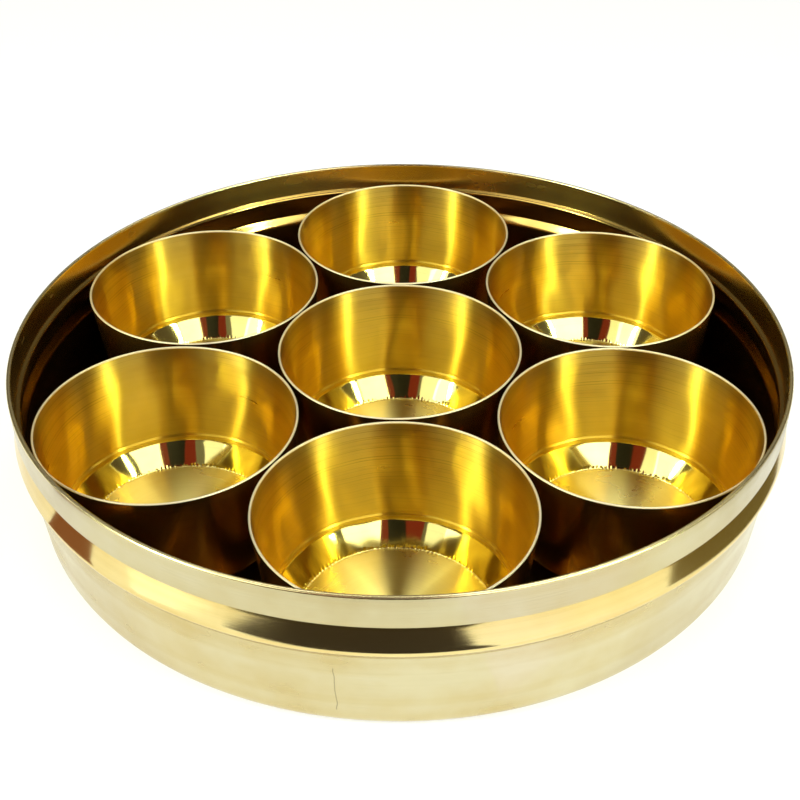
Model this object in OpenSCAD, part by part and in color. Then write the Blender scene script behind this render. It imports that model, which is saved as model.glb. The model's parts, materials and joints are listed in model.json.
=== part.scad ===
// Spice box (masala dabba) of spun brass: a round box and the seven loose cups that stand in it.
// The origin is the centre of the underside, +Z is up and the front cup is towards -Y.

/* [Cups] */
// Outer radius of a cup at its rim
cup_r = 36.5; // [30:0.5:45]
// Height of a cup
cup_h = 39.6; // [34:0.2:50]
// Thickness of a cup's sheet
cup_sheet = 0.7; // [0.5:0.1:1]
// How far the side draws in from the rim down to the waist
cup_taper = 3.5; // [3.4:0.1:5]
// Height of the sloping band between the foot and the waist
cup_band_h = 7; // [6:0.5:10]
// How far the sloping band draws in from the waist to the foot
cup_band_in = 5.4; // [3:0.1:6]
// Gap between the rims of neighbouring cups
cup_gap = 0.6; // [0.4:0.1:2]

/* [Box] */
// Thickness of the box's sheet
box_sheet = 1.2; // [0.8:0.1:1.4]
// Gap between the ring of cups and the inside of the neck
wall_gap = 1.5; // [1.4:0.1:4]
// Height of the box's lip above the rims of the cups
lip_rise = 7; // [4:0.5:12]
// Height of the plain neck that a lid slides over
neck_h = 9.4; // [8:0.2:11]
// How far the sheet steps in under the neck
step_in = 1.2; // [0.8:0.1:1.2]
// Height of that step
step_h = 0.7; // [0.5:0.1:1]
// Height of the sloping shoulder, from the step to the middle of the bead
shoulder_h = 7.1; // [6:0.1:9]
// Radius of the rolled bead under the shoulder
bead_r = 1.6; // [1.5:0.1:2.2]
// How far the middle of the bead lies inside the neck's radius
bead_in = 0.7; // [0:0.1:0.8]
// Height of the bead's underside, from the middle of the bead to the top of the side
bead_drop = 3.2; // [2.8:0.1:4]
// How far the top of the side lies inside the neck's radius
side_in = 1; // [0.8:0.1:1.8]
// How far the side draws in from its top down to the rounded bottom corner
side_taper = 2.3; // [0:0.1:3.4]
// Radius of the rounded bottom corner
corner_r = 5; // [3:0.5:8]

/* [Hidden] */
$fn = 128;
box_colour = "#d8c996";
cup_colour = "#b98a2c";

// The ring of six cups around the centre cup
ring_cups = 6;
ring_r = 2 * cup_r + cup_gap;
front = -90;

// Radii and heights of the box
neck_r = ring_r + cup_r + wall_gap + box_sheet;
box_h = box_sheet + cup_h + lip_rise;
step_z = box_h - neck_h;
bead_z = step_z - step_h - shoulder_h;

// Corners of the box's outer line, from the lip down to the foot
step = [neck_r, step_z];
crease = [neck_r - step_in, step_z - step_h];
bead_mid = [neck_r - bead_in, bead_z];
side_top = [neck_r - side_in, bead_z - bead_drop];
corner_mid = [side_top.x - side_taper - corner_r, corner_r];

// Corners of a cup's outer line
waist = [cup_r - cup_taper, cup_band_h];
foot = [waist.x - cup_band_in, 0];

function unit(v) = v / norm(v);

// The outward side of the line from a to b, where the line runs up the outside of a section
function outward(a, b) = let (d = unit(b - a)) [d.y, -d.x];

// A corner of the outer line, moved in so that the sheet keeps its thickness t on both sides of it
function inner_corner(before, corner, after, t) =
    let (n = outward(before, corner), m = outward(corner, after))
    corner - t * (n + m) / (1 + n * m);

// Where a straight line from p touches a circle; side is 1 or -1
function touch(p, mid, r, side) =
    let (d = p - mid, a = atan2(d.y, d.x) + side * acos(r / norm(d)))
    mid + r * [cos(a), sin(a)];

// A point of a round stretch, moved in towards the middle of that stretch
function inner_round(p, mid, t) = p - t * unit(p - mid);

side_foot = touch(side_top, corner_mid, corner_r, -1);
bead_low = touch(side_top, bead_mid, bead_r, 1);
bead_high = touch(crease, bead_mid, bead_r, -1);

// Half section of the space inside the box's outer line, drawn in by t; the top is at height h
module box_half(t, h) {
    polygon([
        [0, t],
        [corner_mid.x, t],
        corner_mid,
        inner_round(side_foot, corner_mid, t),
        inner_corner(side_foot, side_top, bead_low, t),
        inner_round(bead_low, bead_mid, t),
        bead_mid,
        inner_round(bead_high, bead_mid, t),
        inner_corner(bead_high, crease, step, t),
        inner_corner(crease, step, [neck_r, box_h], t),
        [neck_r - t, h],
        [0, h]
    ]);
    translate(corner_mid) circle(r = corner_r - t);
    translate(bead_mid) circle(r = bead_r - t);
}

// Half section of the space inside a cup's outer line, drawn in by t; the top is at height h
module cup_half(t, h) {
    polygon([
        [0, t],
        inner_corner([0, 0], foot, waist, t),
        inner_corner(foot, waist, [cup_r, cup_h], t),
        [cup_r - t, cup_h],
        [cup_r - t, h],
        [0, h]
    ]);
}

// Round lip on top of a sheet of thickness t, whose outside is at radius r and top at height h
module lip(r, h, t) {
    translate([r - t / 2, h - t / 2]) circle(d = t);
}

module box_base() {
    color(box_colour) rotate_extrude() {
        difference() {
            box_half(0, box_h - box_sheet / 2);
            box_half(box_sheet, box_h + 1);
        }
        lip(neck_r, box_h, box_sheet);
    }
}

module cup() {
    color(cup_colour) rotate_extrude() {
        difference() {
            intersection() {
                cup_half(0, cup_h);
                square([cup_r, cup_h - cup_sheet / 2]);
            }
            cup_half(cup_sheet, cup_h + 1);
        }
        lip(cup_r, cup_h, cup_sheet);
    }
}

// A cup of the ring, counted anticlockwise from the front one
module ring_cup(place) {
    angle = front + place * 360 / ring_cups;
    translate([ring_r * cos(angle), ring_r * sin(angle), box_sheet]) cup();
}

module centre_cup() {
    translate([0, 0, box_sheet]) cup();
}

module front_cup() ring_cup(0);
module front_right_cup() ring_cup(1);
module back_right_cup() ring_cup(2);
module back_cup() ring_cup(3);
module back_left_cup() ring_cup(4);
module front_left_cup() ring_cup(5);

box_base();
centre_cup();
front_cup();
front_right_cup();
back_right_cup();
back_cup();
back_left_cup();
front_left_cup();
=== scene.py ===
"""Spice box (masala dabba) of spun brass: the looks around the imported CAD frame.

The box and the seven cups are turned on a lathe from their half sections, with the small radii,
the lathe's chatter marks and the slight unevenness that the CAD solids leave out.
"""

import json
import math

import bpy
import numpy as np
from mathutils import Matrix, Vector


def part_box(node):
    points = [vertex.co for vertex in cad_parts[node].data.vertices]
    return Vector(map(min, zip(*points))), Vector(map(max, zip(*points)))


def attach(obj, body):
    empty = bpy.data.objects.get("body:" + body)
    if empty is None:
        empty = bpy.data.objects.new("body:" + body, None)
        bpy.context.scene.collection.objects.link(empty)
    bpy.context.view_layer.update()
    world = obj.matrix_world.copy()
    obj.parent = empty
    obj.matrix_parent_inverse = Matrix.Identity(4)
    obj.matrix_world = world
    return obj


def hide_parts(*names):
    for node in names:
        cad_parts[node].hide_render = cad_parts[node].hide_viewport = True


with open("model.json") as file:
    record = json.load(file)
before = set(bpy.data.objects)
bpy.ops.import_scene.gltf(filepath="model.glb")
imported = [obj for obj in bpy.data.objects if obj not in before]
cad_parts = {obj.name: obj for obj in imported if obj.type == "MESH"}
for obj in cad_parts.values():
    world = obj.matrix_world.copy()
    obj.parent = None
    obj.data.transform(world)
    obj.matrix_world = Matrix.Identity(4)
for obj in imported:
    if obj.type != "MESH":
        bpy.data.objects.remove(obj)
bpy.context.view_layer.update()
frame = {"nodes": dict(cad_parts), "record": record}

MM = 0.001

# ---------------------------------------------------------------- sizes, from the frame
CUPS = [name for name in frame["nodes"] if name.endswith("_cup")]
box_lo, box_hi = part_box("box_base")
cup_lo, cup_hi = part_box("centre_cup")
lid_seat = next(m for m in frame["record"]["mounts"] if m["name"] == "lid_seat")

BOX_H = box_hi.z
BEAD_R = box_hi.x
NECK_R = lid_seat["dims"]["r_mm"] * MM
BOX_SHEET = cup_lo.z
CUP_R = cup_hi.x
CUP_H = cup_hi.z - cup_lo.z
RIM_Z = cup_hi.z

STEP_Z = BOX_H - 9.4 * MM          # underside of the plain neck
STEP_H, STEP_IN = 0.7 * MM, 1.2 * MM
BEAD_ROUND = 1.6 * MM
BEAD_Z = STEP_Z - STEP_H - 7.1 * MM
SIDE_TOP = (NECK_R - 1.0 * MM, BEAD_Z - 3.2 * MM)
SIDE_FOOT_R = SIDE_TOP[0] - 2.3 * MM
BOTTOM_CORNER = 5.0 * MM

CUP_SHEET = 0.7 * MM
WAIST = (CUP_R - 3.5 * MM, 7.0 * MM)
FOOT_R = WAIST[0] - 5.4 * MM
FINE_WALL, FINE_BAND, FINE_FLOOR = 3.6 * MM, 3.4 * MM, 3 * MM    # stretches that need close points

CUP_SEGMENTS = 576
BOX_SEGMENTS = 640
ROUND_STEP = 12                    # degrees between the points of a round corner
TIGHTEST = 0.25 * MM               # radius of the sharpest bend inside the sheet

# ---------------------------------------------------------------- outlines


def unit(v):
    return v / np.linalg.norm(v)


def moved_in(corners, thickness):
    """The corners of a line that runs up the outside of a section, moved in by the sheet's thickness."""
    points = [np.array(c[:2]) for c in corners]
    result = []
    for i in range(1, len(points) - 1):
        before, after = unit(points[i] - points[i - 1]), unit(points[i + 1] - points[i])
        n, m = np.array((before[1], -before[0])), np.array((after[1], -after[0]))
        convex = before[0] * after[1] - before[1] * after[0] > 0
        radius = corners[i][2] + (-thickness if convex else thickness)
        point = points[i] - thickness * (n + m) / (1 + n @ m)
        result.append((point[0], point[1], max(radius, TIGHTEST)))
    return result


def rounded(corners):
    """Points of a line with round corners, and the zone of each stretch between two points.

    A corner is (r, z, radius, (zone, spacing)); its zone starts with its round and ends before the
    next one, and has a point at least every spacing. A corner with no radius only changes the zone.
    """
    points = [np.array(c[:2]) for c in corners]
    line, zones = [points[0]], []
    for i in range(1, len(points) - 1):
        if not corners[i][2]:
            line.append(points[i])
            zones.append(corners[i - 1][3])
            continue
        back, on = unit(points[i - 1] - points[i]), unit(points[i + 1] - points[i])
        half = math.acos(max(-1.0, min(1.0, back @ on))) / 2
        nearly_half = 0.49
        reach = min(corners[i][2] / math.tan(half),
                    nearly_half * np.linalg.norm(points[i - 1] - points[i]),
                    nearly_half * np.linalg.norm(points[i + 1] - points[i]))
        radius = reach * math.tan(half)
        middle = points[i] + unit(back + on) * radius / math.sin(half)
        start, end = points[i] + back * reach - middle, points[i] + on * reach - middle
        a0, a1 = math.atan2(start[1], start[0]), math.atan2(end[1], end[0])
        turn = (a1 - a0 + math.pi) % (2 * math.pi) - math.pi
        steps = max(3, round(abs(math.degrees(turn)) / ROUND_STEP))
        for k in range(steps + 1):
            a = a0 + turn * k / steps
            line.append(middle + radius * np.array((math.cos(a), math.sin(a))))
            zones.append(corners[i - 1][3] if k == 0 else corners[i][3])
    line.append(points[-1])
    zones.append(corners[-2][3])
    full, full_zones = [line[0]], []
    for p, (zone, spacing) in zip(line[1:], zones):
        q = full[-1]
        parts = max(1, math.ceil(np.linalg.norm(p - q) / (spacing * MM)))
        full.extend(q + (p - q) * k / parts for k in range(1, parts + 1))
        full_zones.extend([zone] * parts)
    return np.array(full), full_zones


def lathe(name, line, zones, materials, segments, shape=None):
    """A closed body of revolution, from a line that runs from the axis to the axis.

    shape(r, z, angle) returns the moved r and z, for what isn't perfectly round.
    """
    rings = line[1:-1]
    angles = np.arange(segments) * 2 * math.pi / segments
    r = np.repeat(rings[:, :1], segments, axis=1)
    z = np.repeat(rings[:, 1:], segments, axis=1)
    if shape:
        r, z = shape(r, z, angles[None, :])
    verts = np.stack([r * np.cos(angles), r * np.sin(angles), z], axis=2).reshape(-1, 3)
    points = np.concatenate([verts, [[0, 0, line[0][1]]], [[0, 0, line[-1][1]]]])
    first, last = len(points) - 2, len(points) - 1
    slots = list(materials)
    faces, face_slots = [], []
    for s in range(segments):
        t = (s + 1) % segments
        faces.append((first, t, s))
        face_slots.append(slots.index(zones[0]))
        for k in range(len(rings) - 1):
            low, high = k * segments, (k + 1) * segments
            faces.append((low + s, low + t, high + t, high + s))
            face_slots.append(slots.index(zones[k + 1]))
        top = (len(rings) - 1) * segments
        faces.append((top + s, top + t, last))
        face_slots.append(slots.index(zones[-1]))
    mesh = bpy.data.meshes.new(name)
    mesh.from_pydata(points.tolist(), [], faces)
    for slot in slots:
        mesh.materials.append(materials[slot])
    mesh.polygons.foreach_set("material_index", face_slots)
    mesh.shade_smooth()
    piece = bpy.data.objects.new(name, mesh)
    bpy.context.scene.collection.objects.link(piece)
    return piece


def touch(p, mid, r, side):
    """Where a straight line from p touches a circle."""
    d = np.array(p) - mid
    a = math.atan2(d[1], d[0]) + side * math.acos(r / np.linalg.norm(d))
    return mid + r * np.array((math.cos(a), math.sin(a)))


def crossing(a, b, c, d):
    """Where the line through a and b meets the line through c and d."""
    a, b, c, d = (np.array(p, float) for p in (a, b, c, d))
    u, v = b - a, d - c
    k = ((c - a)[0] * v[1] - (c - a)[1] * v[0]) / (u[0] * v[1] - u[1] * v[0])
    return a + k * u


def partway(a, b, distance):
    """The point at a distance from a on the way to b, as a corner with no radius."""
    a, b = np.array(a[:2]), np.array(b[:2])
    return (*(a + unit(b - a) * distance), 0)


def with_zones(corners, zones):
    """Corners with the zone and the spacing, in mm, of the stretch that starts at each of them."""
    return [(*corner, zone) for corner, zone in zip(corners, zones, strict=True)]


def box_line():
    """The box's section: up the outside, over the lip and back down the inside."""
    crease = (NECK_R - STEP_IN, STEP_Z - STEP_H)
    bead_mid = np.array((BEAD_R - BEAD_ROUND, BEAD_Z))
    low, high = touch(SIDE_TOP, bead_mid, BEAD_ROUND, 1), touch(crease, bead_mid, BEAD_ROUND, -1)
    tip = crossing(SIDE_TOP, low, crease, high)
    outer = [
        (0, 0, 0),
        (SIDE_FOOT_R, 0, BOTTOM_CORNER),
        (*SIDE_TOP, 0.8 * MM),
        (*tip, BEAD_ROUND),
        (*crease, 0.35 * MM),
        (NECK_R, STEP_Z, 0.3 * MM),
        (NECK_R, BOX_H, 0.6 * MM),
    ]
    inner = moved_in(outer, BOX_SHEET)[::-1]
    lip = [(NECK_R - BOX_SHEET, BOX_H, 0.58 * MM), (NECK_R - BOX_SHEET, BOX_H - 0.8 * MM, 0)]
    zones = [("underside", 6), ("side", 2), ("bead", 1), ("shoulder", 1), ("neck", 1.2), ("neck", 1.2),
             ("lip", 1), ("lip", 1), ("neck_inside", 1.6), ("ledge", 1.2), ("ledge", 1.2), ("ledge", 1.2),
             ("side_inside", 4), ("floor_inside", 6), ("floor_inside", 6)]
    return rounded(with_zones([*outer, *lip, *inner, (0, BOX_SHEET, 0)], zones))


def cup_line():
    """A cup's section, with the points packed close where the crease and the chatter marks are."""
    outer = [
        (0, 0, 0),
        (FOOT_R, 0, 1.2 * MM),
        (*WAIST, 0.9 * MM),
        (CUP_R, CUP_H, 0.33 * MM),
    ]
    waist, foot = moved_in(outer, CUP_SHEET)[::-1]
    lip = [(CUP_R - CUP_SHEET, CUP_H, 0.33 * MM), (CUP_R - CUP_SHEET, CUP_H - 0.5 * MM, 0)]
    middle = (0, CUP_SHEET, 0)
    corners = [*outer, *lip, partway(waist, lip[1], FINE_WALL), waist, partway(waist, foot, FINE_BAND),
               foot, partway(foot, middle, FINE_FLOOR), middle]
    zones = [("outside", 5), ("outside", 2), ("outside", 4), ("lip", 1), ("lip", 1), ("wall", 0.7),
             ("wall", 0.16), ("band", 0.8), ("band", 0.22), ("floor", 0.22), ("floor", 5), ("floor", 5)]
    return rounded(with_zones(corners, zones))


# ---------------------------------------------------------------- unevenness

OVAL, LOBED, TILTED = 0.14 * MM, 0.06 * MM, 0.1 * MM      # how far a cup's rim is from a true circle
# dents: how deep, how many waves round the axis, and the pitch of their drift with height
CUP_DENTS, CUP_WAVES, CUP_DRIFT = 0.28 * MM, (5, 8, 11, 17), 5 * MM
BOX_DENTS, BOX_WAVES, BOX_DRIFT = 0.07 * MM, (3, 5, 7, 12), 8 * MM
# turning lines near a cup's rim; their distances from it are in mm
GROOVES_BELOW_RIM, GROOVE_DEPTH, GROOVE_WIDTH = (2.2, 3.1, 5.6, 6.4, 9.5), 0.025 * MM, 0.35 * MM
CREASE_ABOVE_WAIST, CREASE_DEPTH = 1.9 * MM, 0.3 * MM
RIDGE_ABOVE_WAIST, RIDGE_HEIGHT = 2.7 * MM, 0.16 * MM
CREASE_WIDTH = 0.3 * MM
MARK_STEP, MARK_DEPTH = 4, 0.24 * MM       # segments for each chatter mark, and how deep it is
FLOOR_R = FOOT_R - CUP_SHEET * 0.6         # where the marks are, round a cup's floor


def waves(rng, angle, z, turns, pitch):
    """Soft unevenness from -1 to 1: a few waves round the axis, which drift with height."""
    total = 0
    for turn in turns:
        phase, lean = rng.uniform(0, 2 * math.pi), rng.uniform(-1, 1)
        total = total + np.cos(turn * angle + phase + lean * z / pitch) / len(turns)
    return total


def swell(x, middle, width):
    """1 at the middle, and soft down to 0 about two widths away."""
    return np.exp(-((x - middle) / width) ** 2)


def cup_shape(seed):
    """Out of round towards the rim, with soft dents, turning lines, a crease and chatter marks."""
    rng = np.random.default_rng(seed)
    sway = rng.uniform(0, 2 * math.pi, 3)
    count = CUP_SEGMENTS // MARK_STEP
    marks = np.zeros(CUP_SEGMENTS)
    spots = np.arange(count) * MARK_STEP + rng.integers(0, 2, count)
    marks[spots] = rng.uniform(0.35, 1, count)
    reach = np.repeat(rng.uniform(0.35, 0.75, count), MARK_STEP) * MM
    grooves = CUP_H - np.array(GROOVES_BELOW_RIM) * MM + rng.uniform(-0.6, 0.6, 5) * MM

    def shape(r, z, angle):
        height = np.clip(z / CUP_H, 0, 1)
        side = np.clip((r - FOOT_R) / (WAIST[0] - FOOT_R), 0, 1)
        bulge = OVAL * np.cos(2 * angle + sway[0]) + LOBED * np.cos(3 * angle + sway[1])
        dents = CUP_DENTS * waves(np.random.default_rng(seed + 50), angle, z, CUP_WAVES, CUP_DRIFT)
        new_r = r + bulge * height ** 2 + dents * side * swell(height, 0.4, 0.35)
        new_z = z + TILTED * height * np.cos(2 * angle + sway[2]) - TILTED * height
        for groove in grooves:
            new_r = new_r + GROOVE_DEPTH * swell(z, groove, GROOVE_WIDTH)
        new_r = new_r - CREASE_DEPTH * swell(z, WAIST[1] + CREASE_ABOVE_WAIST, CREASE_WIDTH)
        new_r = new_r + RIDGE_HEIGHT * swell(z, WAIST[1] + RIDGE_ABOVE_WAIST, CREASE_WIDTH)
        inside = (z > CUP_SHEET * 0.9) & (r < WAIST[0] - 1.0 * MM) & (z < 4 * MM)
        near = np.clip(1.3 - np.abs(r - FLOOR_R) / reach[None, :], 0, 1)
        new_z = new_z - np.where(inside, MARK_DEPTH * marks[None, :] * near, 0)
        return new_r, new_z

    return shape


def box_shape(r, z, angle):
    """The box is spun by hand: it is a hair out of round and its side isn't quite even."""
    rng = np.random.default_rng(7)
    side = np.clip((r - SIDE_FOOT_R * 0.8) / (NECK_R * 0.2), 0, 1)
    dents = BOX_DENTS * (waves(rng, angle, z, BOX_WAVES, BOX_DRIFT) - 1)
    return r + dents * side, z


# ---------------------------------------------------------------- materials


def node(tree, kind, **settings):
    made = tree.nodes.new("ShaderNode" + kind)
    for key, value in settings.items():
        if key in made.inputs:
            made.inputs[key].default_value = value
        else:
            setattr(made, key, value)
    return made


def feed(tree, socket, value):
    """Links another node's output to a socket, or sets the socket to a number or a colour."""
    if isinstance(value, bpy.types.NodeSocket):
        tree.links.new(value, socket)
    else:
        socket.default_value = value


def calc(tree, operation, *values):
    """The result of a math node on numbers or other nodes' outputs."""
    made = node(tree, "Math", operation=operation)
    for socket, value in zip(made.inputs, values):
        feed(tree, socket, value)
    return made.outputs[0]


def remap(tree, value, start, end, low=0.0, high=1.0, curve="LINEAR"):
    """A value between start and end, moved to between low and high."""
    made = node(tree, "MapRange", interpolation_type=curve)
    for key, number in (("From Min", start), ("From Max", end), ("To Min", low), ("To Max", high)):
        made.inputs[key].default_value = number
    tree.links.new(value, made.inputs["Value"])
    return made.outputs["Result"]


def mix(tree, kind, a, b, factor):
    """A value between a and b; its kind is RGBA or FLOAT."""
    made = node(tree, "Mix", data_type=kind)
    for key, value in (("A", a), ("B", b), ("Factor", factor)):
        feed(tree, made.inputs[key], value)
    return made.outputs["Result"]


def paint(colour, shade=1.0):
    return (*(c * shade for c in colour), 1)


def along_section(tree, split):
    """Radius less height: it grows or falls along every stretch of a section, so lathe lines follow it."""
    x2, y2 = (calc(tree, "MULTIPLY", split.outputs[axis], split.outputs[axis]) for axis in "XY")
    return calc(tree, "SUBTRACT", calc(tree, "SQRT", calc(tree, "ADD", x2, y2)), split.outputs["Z"])


def rings(tree, along, scale, detail):
    """Noise that changes along the section only, so that it draws rings round the axis."""
    noise = node(tree, "TexNoise", noise_dimensions="1D", Scale=1.0, Detail=detail)
    tree.links.new(calc(tree, "MULTIPLY", along, scale), noise.inputs["W"])
    return noise.outputs["Fac"]


def cloud(tree, place, **settings):
    """Noise in soft patches all over a piece."""
    noise = node(tree, "TexNoise", **settings)
    tree.links.new(place.outputs["Object"], noise.inputs["Vector"])
    return noise.outputs["Fac"]


# the darker, duller tone that a cup's wall shifts to near its rim
RIM_DULL_TONE = (0.36, 0.29, 0.09)
FINE_SCALE, BROAD_SCALE, CUT_SCALE = 1400.0, 168.0, 2300.0     # noise steps in a metre of section
MID_WALL, NEAR_RIM = 0.016, -0.002     # radius less height, halfway up a cup's wall and near its rim
SCRATCH_ANGLE, SCRATCH_HALF_WIDTH, SCRATCH_SWAY = math.radians(-97.5), 0.0013, 0.012      # radians
SCRATCH_MIDDLE, SCRATCH_HALF_LENGTH = 14.5 * MM, 8 * MM


def towards_rim(tree, place, along, tone, dark, line_tone, rim_dulling):
    """A tone with the turning lines that are cut coarser, and the brass duller, towards a cup's rim."""
    rimward = remap(tree, along, MID_WALL, NEAR_RIM, 0.2, 1.0)
    cut = remap(tree, rings(tree, along, CUT_SCALE, 2.0), 0.5, 0.72, curve="SMOOTHSTEP")
    shown = remap(tree, cloud(tree, place, Scale=45.0, Detail=3.0), 0.35, 0.65)
    lines = calc(tree, "MULTIPLY", calc(tree, "MULTIPLY", cut, shown), rimward)
    dull = calc(tree, "MULTIPLY", calc(tree, "POWER", rimward, 4.0), rim_dulling)
    tone = mix(tree, "RGBA", tone, paint(RIM_DULL_TONE), dull)
    return mix(tree, "RGBA", tone, paint(dark, 0.3), calc(tree, "MULTIPLY", lines, line_tone))


def upright_scratch(tree, split):
    """The mask of one thin scratch that runs up the side of the box, a little left of the front."""
    angle = calc(tree, "ARCTAN2", split.outputs["Y"], split.outputs["X"])
    sway = node(tree, "TexNoise", noise_dimensions="1D", Scale=160.0, Detail=1.0)
    tree.links.new(split.outputs["Z"], sway.inputs["W"])
    middle = calc(tree, "MULTIPLY_ADD", sway.outputs["Fac"], SCRATCH_SWAY, SCRATCH_ANGLE)
    line = calc(tree, "COMPARE", angle, middle, SCRATCH_HALF_WIDTH)
    length = calc(tree, "COMPARE", split.outputs["Z"], SCRATCH_MIDDLE, SCRATCH_HALF_LENGTH)
    return calc(tree, "MULTIPLY", calc(tree, "MULTIPLY", line, length), 0.5)


def spun_brass(name, tones, roughness, anisotropy, lines=0.15, streaks=0.25, line_tone=0.35, rim_dulling=0.0,
               scratched=False):
    """Brass turned on a lathe: fine lines run round the axis, and the tone drifts in soft patches.

    The tones are a light and a dark one. Streaks is how far the drift follows the lathe, from 0 to 1.
    """
    light, dark = tones
    material = bpy.data.materials.new(name)
    material.use_nodes = True
    tree = material.node_tree
    shader = tree.nodes["Principled BSDF"]
    shader.inputs["Metallic"].default_value = 1
    shader.inputs["Anisotropic"].default_value = anisotropy
    shader.inputs["Anisotropic Rotation"].default_value = 0.25
    tangent = node(tree, "Tangent", direction_type="RADIAL", axis="Z")
    tree.links.new(tangent.outputs["Tangent"], shader.inputs["Tangent"])

    place = node(tree, "TexCoord")
    split = node(tree, "SeparateXYZ")
    tree.links.new(place.outputs["Object"], split.inputs[0])
    along = along_section(tree, split)
    fine, broad = rings(tree, along, FINE_SCALE, 3.0), rings(tree, along, BROAD_SCALE, 2.0)
    patches = cloud(tree, place, Scale=28.0, Detail=4.0, Roughness=0.6)
    drift = mix(tree, "FLOAT", patches, broad, streaks)

    tone = mix(tree, "RGBA", paint(dark), paint(light), remap(tree, drift, 0.3, 0.62))
    tone = towards_rim(tree, place, along, tone, dark, line_tone, rim_dulling)
    if scratched:
        tone = mix(tree, "RGBA", tone, paint(dark, 0.35), upright_scratch(tree, split))
    tree.links.new(tone, shader.inputs["Base Color"])
    polish = remap(tree, drift, 0.3, 0.7, roughness * 1.3, roughness * 0.75)
    tree.links.new(polish, shader.inputs["Roughness"])
    relief = node(tree, "Bump", Strength=lines, Distance=0.02 * MM)
    tree.links.new(fine, relief.inputs["Height"])
    tree.links.new(relief.outputs["Normal"], shader.inputs["Normal"])
    return material


def plain(name, colour, glow=0.0, glow_colour=(1, 1, 1)):
    material = bpy.data.materials.new(name)
    material.use_nodes = True
    shader = material.node_tree.nodes["Principled BSDF"]
    shader.inputs["Base Color"].default_value = (*colour, 1)
    shader.inputs["Roughness"].default_value = 0.9
    shader.inputs["Specular IOR Level"].default_value = 0.1
    shader.inputs["Emission Color"].default_value = (*glow_colour, 1)
    shader.inputs["Emission Strength"].default_value = glow
    return material


# each is a light tone and a dark one; every zone of the one brass sheet has tones of its own, set one by
# one to how the zone comes out under the lights, so they are partly the brass's own finish and partly
# painted light and shade
GOLD = (0.79, 0.54, 0.055), (0.67, 0.41, 0.022)
# painted highlight: the cups' lips are a near white brass, for the light they catch along the top
HIGHLIT_CREAM = (1.0, 0.92, 0.64), (0.96, 0.84, 0.5)
OLIVE = (0.86, 0.77, 0.26), (0.74, 0.62, 0.14)
# painted light: the cups' floors are a brighter brass than their walls and bands
LIT_LEMON = (0.94, 0.83, 0.28), (0.84, 0.7, 0.17)
# partly painted shade: the cups' outsides are a darker brass, for the shade in the gaps between the cups
SHADED_BRONZE = (0.6, 0.4, 0.095), (0.48, 0.26, 0.042)
PALE = (0.6, 0.54, 0.355), (0.54, 0.44, 0.21)
STRAW = (0.65, 0.58, 0.37), (0.57, 0.44, 0.18)
# painted shade: the bead is a darker brass than the side
SHADED_HONEY = (0.59, 0.48, 0.22), (0.5, 0.37, 0.11)
# painted light: the shoulder is a brighter, warmer brass than the side
LIT_SHOULDER_GOLD = (0.8, 0.65, 0.3), (0.7, 0.51, 0.17)
# painted highlight: the box's lip is a paler brass than its neck, for the light it catches on top
HIGHLIT_YELLOW = (0.86, 0.76, 0.42), (0.78, 0.64, 0.26)
AMBER = (0.66, 0.47, 0.11), (0.54, 0.34, 0.055)
# painted shade: the ledge inside the neck is a darker brass
SHADED_OCHRE = (0.52, 0.37, 0.1), (0.4, 0.24, 0.045)
# painted shade: the inside of the box, round and under the cups, is a dark brown brass
SHADED_BROWN = (0.36, 0.22, 0.055), (0.23, 0.115, 0.022)

cup_materials = {
    # painted shade in the gaps between the cups, on top of the brass's own tone
    "outside": spun_brass("cup_outside", SHADED_BRONZE, 0.2, 0.6),
    # painted highlight along the top of each cup's lip
    "lip": spun_brass("cup_lip", HIGHLIT_CREAM, 0.5, 0.0),
    "wall": spun_brass("cup_wall", GOLD, 0.33, 1.0, streaks=0.5, line_tone=0.6, rim_dulling=0.5),
    "band": spun_brass("cup_band", OLIVE, 0.07, 0.5, lines=0.05),
    # painted light: a brighter brass on each cup's floor
    "floor": spun_brass("cup_floor", LIT_LEMON, 0.28, 1.0, lines=0.08, line_tone=0.5),
}
box_materials = {
    "underside": spun_brass("box_underside", PALE, 0.3, 0.5),
    "side": spun_brass("box_side", STRAW, 0.24, 0.5, scratched=True),
    # painted shade on the bead and painted light on the shoulder
    "bead": spun_brass("box_bead", SHADED_HONEY, 0.2, 0.3),
    "shoulder": spun_brass("box_shoulder", LIT_SHOULDER_GOLD, 0.1, 0.5),
    "neck": spun_brass("box_neck", PALE, 0.22, 0.5),
    # painted highlight along the top of the box's lip
    "lip": spun_brass("box_lip", HIGHLIT_YELLOW, 0.25, 0.0),
    "neck_inside": spun_brass("box_neck_inside", AMBER, 0.24, 0.7),
    # painted shade on the ledge inside the neck
    "ledge": spun_brass("box_ledge", SHADED_OCHRE, 0.18, 0.5),
    # painted shade on the inside of the box, round and under the cups
    "side_inside": spun_brass("box_side_inside", SHADED_BROWN, 0.22, 0.6),
    "floor_inside": spun_brass("box_floor_inside", SHADED_BROWN, 0.3, 0.4),
}

# ---------------------------------------------------------------- pieces

line, zones = box_line()
box_skin = lathe("box_base_spun", line, zones, box_materials, BOX_SEGMENTS, box_shape)
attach(box_skin, "root")
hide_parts("box_base")

line, zones = cup_line()
for number, name in enumerate(CUPS):
    lo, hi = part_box(name)
    cup = lathe(name + "_spun", line, zones, cup_materials, CUP_SEGMENTS, cup_shape(number))
    cup.location = ((lo.x + hi.x) / 2, (lo.y + hi.y) / 2, lo.z)
    cup.rotation_euler.z = number * math.pi / 2
    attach(cup, name)
    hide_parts(name)

# ---------------------------------------------------------------- camera

CAMERA_BACK, CAMERA_RISE = 307.3 * MM, 200.5 * MM          # from the axis, and above the cups' rims
CAMERA_TURN, CAMERA_DOWN, CAMERA_ROLL = (math.radians(a) for a in (1.1, 35.65, -0.34))
LENS, SENSOR = 55.2, 36


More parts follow.
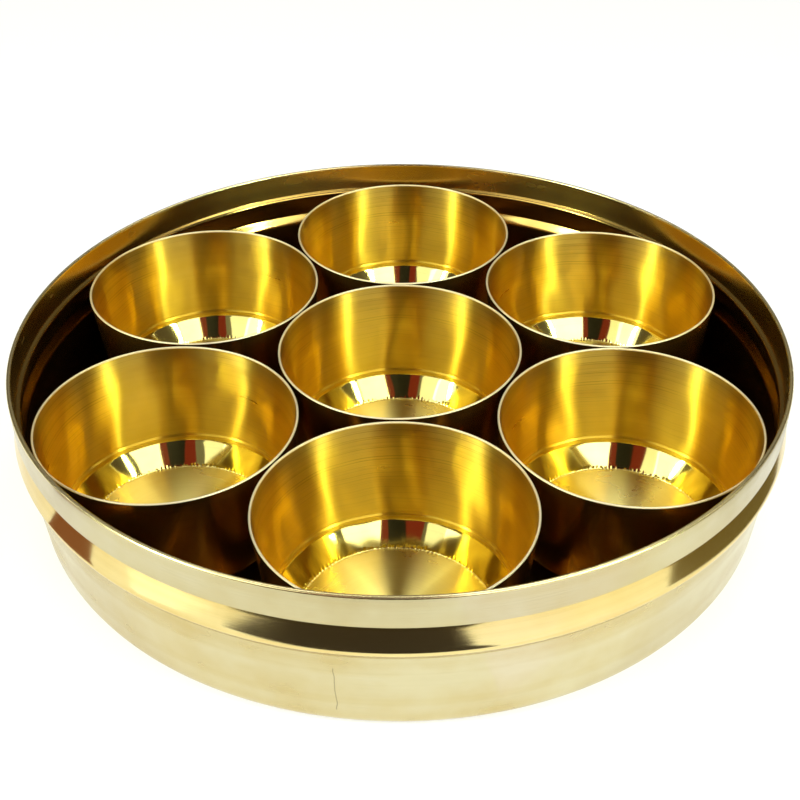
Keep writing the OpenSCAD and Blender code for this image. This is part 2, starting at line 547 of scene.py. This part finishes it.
def make_camera():
    data = bpy.data.cameras.new("camera")
    data.lens, data.sensor_width = LENS, SENSOR
    camera = bpy.data.objects.new("camera", data)
    bpy.context.scene.collection.objects.link(camera)
    forward = Vector((-math.sin(CAMERA_TURN) * math.cos(CAMERA_DOWN),
                      math.cos(CAMERA_TURN) * math.cos(CAMERA_DOWN),
                      -math.sin(CAMERA_DOWN)))
    level = Vector((math.cos(CAMERA_TURN), math.sin(CAMERA_TURN), 0))
    above = level.cross(forward)
    right = math.cos(CAMERA_ROLL) * level + math.sin(CAMERA_ROLL) * above
    up = math.cos(CAMERA_ROLL) * above - math.sin(CAMERA_ROLL) * level
    place = Vector((math.sin(CAMERA_TURN) * CAMERA_BACK, -math.cos(CAMERA_TURN) * CAMERA_BACK,
                    RIM_Z + CAMERA_RISE))
    camera.matrix_world = Matrix.Translation(place) @ Matrix((right, up, -forward)).transposed().to_4x4()
    data.clip_start, data.clip_end = 0.01, 20
    bpy.context.scene.camera = camera


# ---------------------------------------------------------------- studio

CEILING_Z, CEILING_FRONT, CEILING_BACK = 1.3, 0.1, 0.9
GAP_LEFT, GAP_RIGHT = -0.14, 0.09          # the dark gap between the two softboxes overhead
PATCH_Z = 0.5 * MM
PAPER, PAPER_GLOW = (0.52, 0.52, 0.52), 0.53
LEMON_TINT = (0.88, 1.0, 0.75)             # of the two strips that draw the cups' brightest streaks
HORIZON, HALFWAY, OVERHEAD = (0.07, 0.04, 0.02, 1), (0.14, 0.12, 0.1, 1), (0.35, 0.33, 0.3, 1)
BLACK_CLOTH, RED_CLOTH = (0.012, 0.01, 0.008), (0.2, 0.02, 0.012)
BROWN_CLOTH, RUST_CLOTH = (0.016, 0.007, 0.003), (0.26, 0.09, 0.03)
OLIVE_CLOTH, DARK_CLOTH = (0.16, 0.12, 0.03), (0.06, 0.02, 0.006)
WHITE_CLOTH, WHITEST_CLOTH = (1.3, 1.3, 1.3), (1.8, 1.8, 1.8)


def area_light(name, azimuth, elevation, distance, width, height, radiance, colour=(1, 1, 1)):
    """A softbox that faces the object; azimuth is counted from the front towards +X."""
    data = bpy.data.lights.new(name, "AREA")
    data.shape, data.size, data.size_y = "RECTANGLE", width, height
    data.energy, data.color = radiance * math.pi * width * height, colour
    light = bpy.data.objects.new(name, data)
    a, e = math.radians(azimuth), math.radians(elevation)
    place = Vector((math.sin(a) * math.cos(e), -math.cos(a) * math.cos(e), math.sin(e))) * distance
    light.location = place
    light.rotation_euler = (-place).to_track_quat("-Z", "Y").to_euler()
    light.visible_camera = False
    bpy.context.scene.collection.objects.link(light)
    return light


def ceiling_light(name, left, right, radiance):
    """A softbox that faces straight down, overhead and a little behind the object."""
    light = area_light(name, 0, 90, CEILING_Z, right - left, CEILING_BACK - CEILING_FRONT, radiance)
    light.location = ((left + right) / 2, (CEILING_FRONT + CEILING_BACK) / 2, CEILING_Z)
    light.rotation_euler = (0, 0, 0)


def flat_sheet(name, corners, material):
    mesh = bpy.data.meshes.new(name)
    mesh.from_pydata(corners, [], [tuple(range(len(corners)))])
    sheet = bpy.data.objects.new(name, mesh)
    bpy.context.scene.collection.objects.link(sheet)
    sheet.data.materials.append(material)
    return sheet


def make_floor():
    """A round of paper that comes out white; it reaches further back than forward."""
    n, r, shift = 128, 0.6, 0.28
    turns = [2 * math.pi * k / n for k in range(n)]
    ring = [(r * math.cos(a), shift + r * math.sin(a), 0) for a in turns]
    flat_sheet("floor", ring, plain("floor_paper", PAPER, PAPER_GLOW))


def mirrored_only(name, corners, colour):
    """A sheet that only the brass sees, as its mirror image."""
    sheet = flat_sheet(name, corners, plain(name + "_cloth", (0.01, 0.01, 0.01), 1.0, colour))
    sheet.visible_camera = False
    sheet.visible_shadow = False
    sheet.visible_diffuse = False


def make_card(name, left, right, colour):
    """A narrow card that leans over the camera from behind; the brass mirrors it as a stripe."""
    front, low, back, high = -0.5, 0.08, -0.3, 0.75
    corners = [(left, front, low), (right, front, low), (right, back, high), (left, back, high)]
    mirrored_only(name, corners, colour)


def make_patch(name, left, right, front, back, colour, z=PATCH_Z):
    """A level patch: just above the floor, where the shoulder and the bead mirror it, or overhead."""
    corners = [(left, front, z), (right, front, z), (right, back, z), (left, back, z)]
    mirrored_only(name, corners, colour)


def make_world():
    """Dark near the horizon and paler overhead for what the brass mirrors; white behind the object."""
    world = bpy.data.worlds.new("studio")
    bpy.context.scene.world = world
    world.use_nodes = True
    tree = world.node_tree
    link = tree.links.new
    place = node(tree, "TexCoord")
    split = node(tree, "SeparateXYZ")
    link(place.outputs["Generated"], split.inputs[0])
    facing = calc(tree, "MULTIPLY", split.outputs["Y"], split.outputs["Y"])
    lobes = calc(tree, "MULTIPLY_ADD", facing, 1.2, 0.4)
    ramp = node(tree, "ValToRGB")
    ramp.color_ramp.elements[0].color = HORIZON
    ramp.color_ramp.elements[1].color = OVERHEAD
    ramp.color_ramp.elements.new(0.5).color = HALFWAY
    link(calc(tree, "MULTIPLY", split.outputs["Z"], lobes), ramp.inputs["Fac"])
    mirrored = tree.nodes["Background"]
    link(ramp.outputs["Color"], mirrored.inputs["Color"])
    seen = node(tree, "Background", Color=(1, 1, 1, 1))
    rays = node(tree, "LightPath")
    either = node(tree, "MixShader")
    link(rays.outputs["Is Camera Ray"], either.inputs["Fac"])
    link(mirrored.outputs["Background"], either.inputs[1])
    link(seen.outputs["Background"], either.inputs[2])
    link(either.outputs["Shader"], tree.nodes["World Output"].inputs["Surface"])


def make_lights():
    """Dim screens and bright narrow strips stand round the front and sides; two softboxes hang."""
    screen = {"elevation": 36, "height": 1.0}
    strip = {"elevation": 31, "colour": LEMON_TINT}
    side_strip = {"elevation": 34, "distance": 1.2, "width": 0.06, "height": 0.5, "radiance": 5.0}
    area_light("screen_right", 29, distance=1.3, width=0.8, radiance=2.9, **screen)
    area_light("strip_right", 56, distance=0.72, width=0.04, height=0.36, radiance=64.0, **strip)
    area_light("side_strip_right", 94, **side_strip)
    area_light("screen_middle", -36, distance=1.4, width=0.4, radiance=1.2, **screen)
    area_light("screen_left", -57, distance=1.3, width=0.5, radiance=2.4, **screen)
    area_light("strip_left", -64, distance=1.17, width=0.06, height=0.56, radiance=74.0, **strip)
    area_light("side_strip_left", -94, **side_strip)
    ceiling_light("ceiling_right", left=GAP_RIGHT, right=0.5, radiance=4.2)
    ceiling_light("ceiling_left", left=-0.5, right=GAP_LEFT, radiance=2.4)


def make_reflections():
    """What the bands, the shoulder and the floors mirror. Numbers: left, right, then front, back."""
    make_card("card_middle", -0.07, 0.06, BLACK_CLOTH)
    make_card("card_left", -0.17, -0.07, RED_CLOTH)
    make_card("card_right", 0.06, 0.12, RED_CLOTH)
    make_patch("patch_front", -0.12, 0.062, -0.6, -0.186, BROWN_CLOTH)
    make_patch("patch_pale_right", 0.03, 0.13, -0.17, -0.112, WHITE_CLOTH)
    make_patch("patch_bright_left", -0.23, -0.14, -0.2, -0.125, WHITEST_CLOTH)
    make_patch("patch_bright_right", 0.07, 0.16, -0.33, -0.2, WHITE_CLOTH)
    make_patch("patch_red", -0.23, -0.142, -0.09, -0.05, RUST_CLOTH)
    make_patch("patch_olive", 0.15, 0.27, -0.12, 0.02, OLIVE_CLOTH)
    make_patch("patch_overhead", GAP_LEFT, GAP_RIGHT, CEILING_FRONT, CEILING_BACK, DARK_CLOTH, CEILING_Z)


def make_studio():
    make_floor()
    make_world()
    make_lights()
    make_reflections()
    bpy.context.scene.view_settings.view_transform = "Standard"
    bpy.context.scene.cycles.glossy_bounces = 6
    bpy.context.scene.cycles.max_bounces = 10


make_camera()
make_studio()
